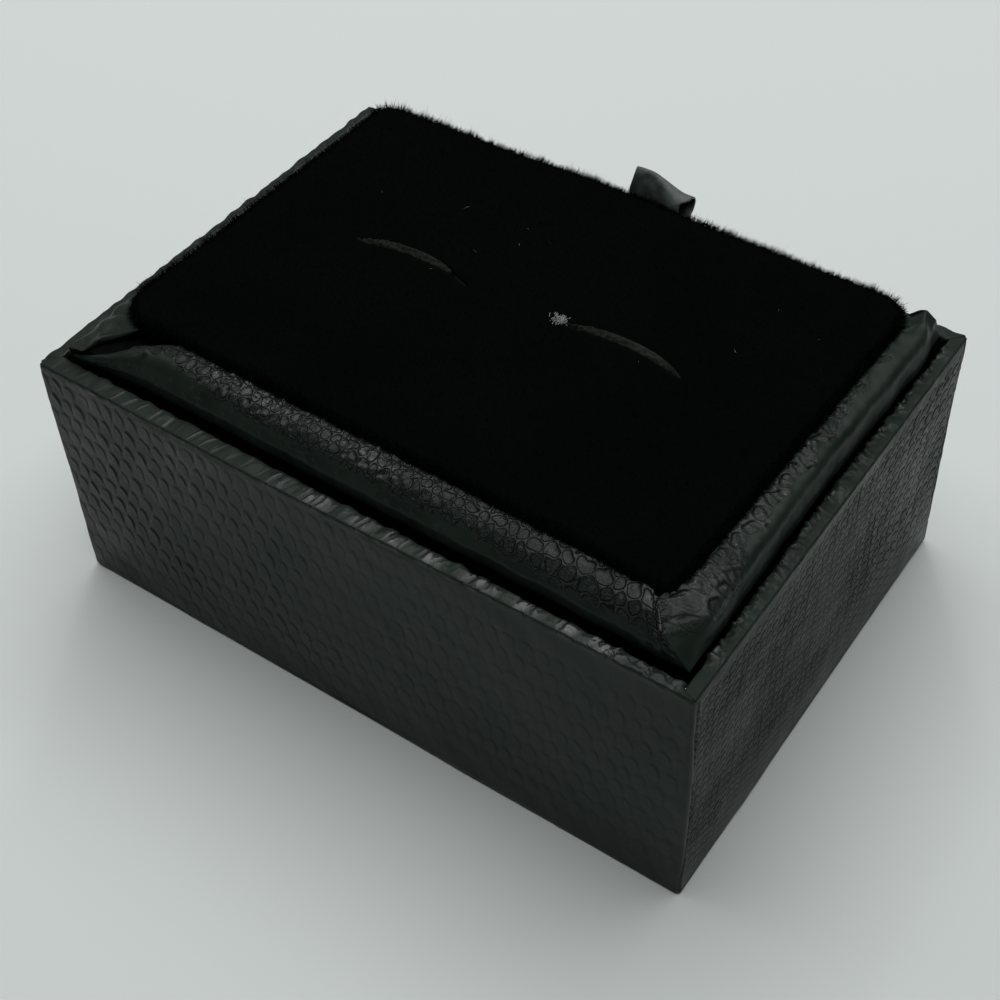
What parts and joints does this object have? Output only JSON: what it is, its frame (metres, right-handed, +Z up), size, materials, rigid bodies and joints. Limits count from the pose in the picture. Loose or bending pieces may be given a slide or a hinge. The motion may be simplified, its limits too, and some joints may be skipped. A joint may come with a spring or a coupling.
{
  "type": "cufflink display box",
  "caption": "Low rectangular box with a padded, velvet-topped insert that lifts out by a tab; curved slits in the velvet hold cufflinks by their posts.",
  "frame": {"origin": "middle of the underside, on the surface that the box stands on", "axes": "+X along the long side, to the right as seen from the front; +Y from the front to the back, where the pull tab is; +Z up"},
  "size_m": [0.08, 0.057, 0.0392],
  "materials": {
    "base_leatherette": "satin black leatherette, embossed with small round scales",
    "collar_leatherette": "satin black leatherette, smooth below and embossed with ringed scales on top",
    "tab_ribbon": "thin satin leatherette ribbon",
    "velvet": "deep black pile velvet",
    "foam": "soft grey-brown foam",
    "greyboard": "matt greyboard",
    "black_board": "matt black-faced board",
    "black_paper": "matt black lining paper"
  },
  "bodies": {
    "base": {"back_wall_board": "greyboard", "back_wall_liner": "black_paper", "back_wrap": "base_leatherette", "bottom_cover": "black_paper", "floor_board": "greyboard", "floor_liner": "black_paper", "front_wall_board": "greyboard", "front_wall_liner": "black_paper", "front_wrap": "base_leatherette", "left_wall_board": "greyboard", "left_wall_liner": "black_paper", "left_wrap": "base_leatherette", "right_wall_board": "greyboard", "right_wall_liner": "black_paper", "right_wrap": "base_leatherette"},
    "insert": {"back_collar_cover": "collar_leatherette", "back_collar_padding": "foam", "back_skirt_board": "black_board", "front_collar_cover": "collar_leatherette", "front_collar_padding": "foam", "front_skirt_board": "black_board", "left_collar_cover": "collar_leatherette", "left_collar_padding": "foam", "left_skirt_board": "black_board", "pad_board": "greyboard", "pad_foam": "foam", "pad_velvet": "velvet", "platform_board": "black_board", "pull_tab_tail": "tab_ribbon", "right_collar_cover": "collar_leatherette", "right_collar_padding": "foam", "right_skirt_board": "black_board"},
    "tab": {"pull_tab": "tab_ribbon"}
  },
  "joints": [
    {"name": "insert_lift", "type": "slide", "parent": "base", "child": "insert", "axis": [0, 0, 1], "range_m": [0, 0.05]},
    {"name": "tab_fold", "type": "hinge", "parent": "insert", "child": "tab", "pos_m": [0.0038, 0.02585, 0.0345], "axis": [-1, 0, 0], "range_deg": [0, 75], "stiffness_Nm_per_rad": 0.00001}
  ]
}
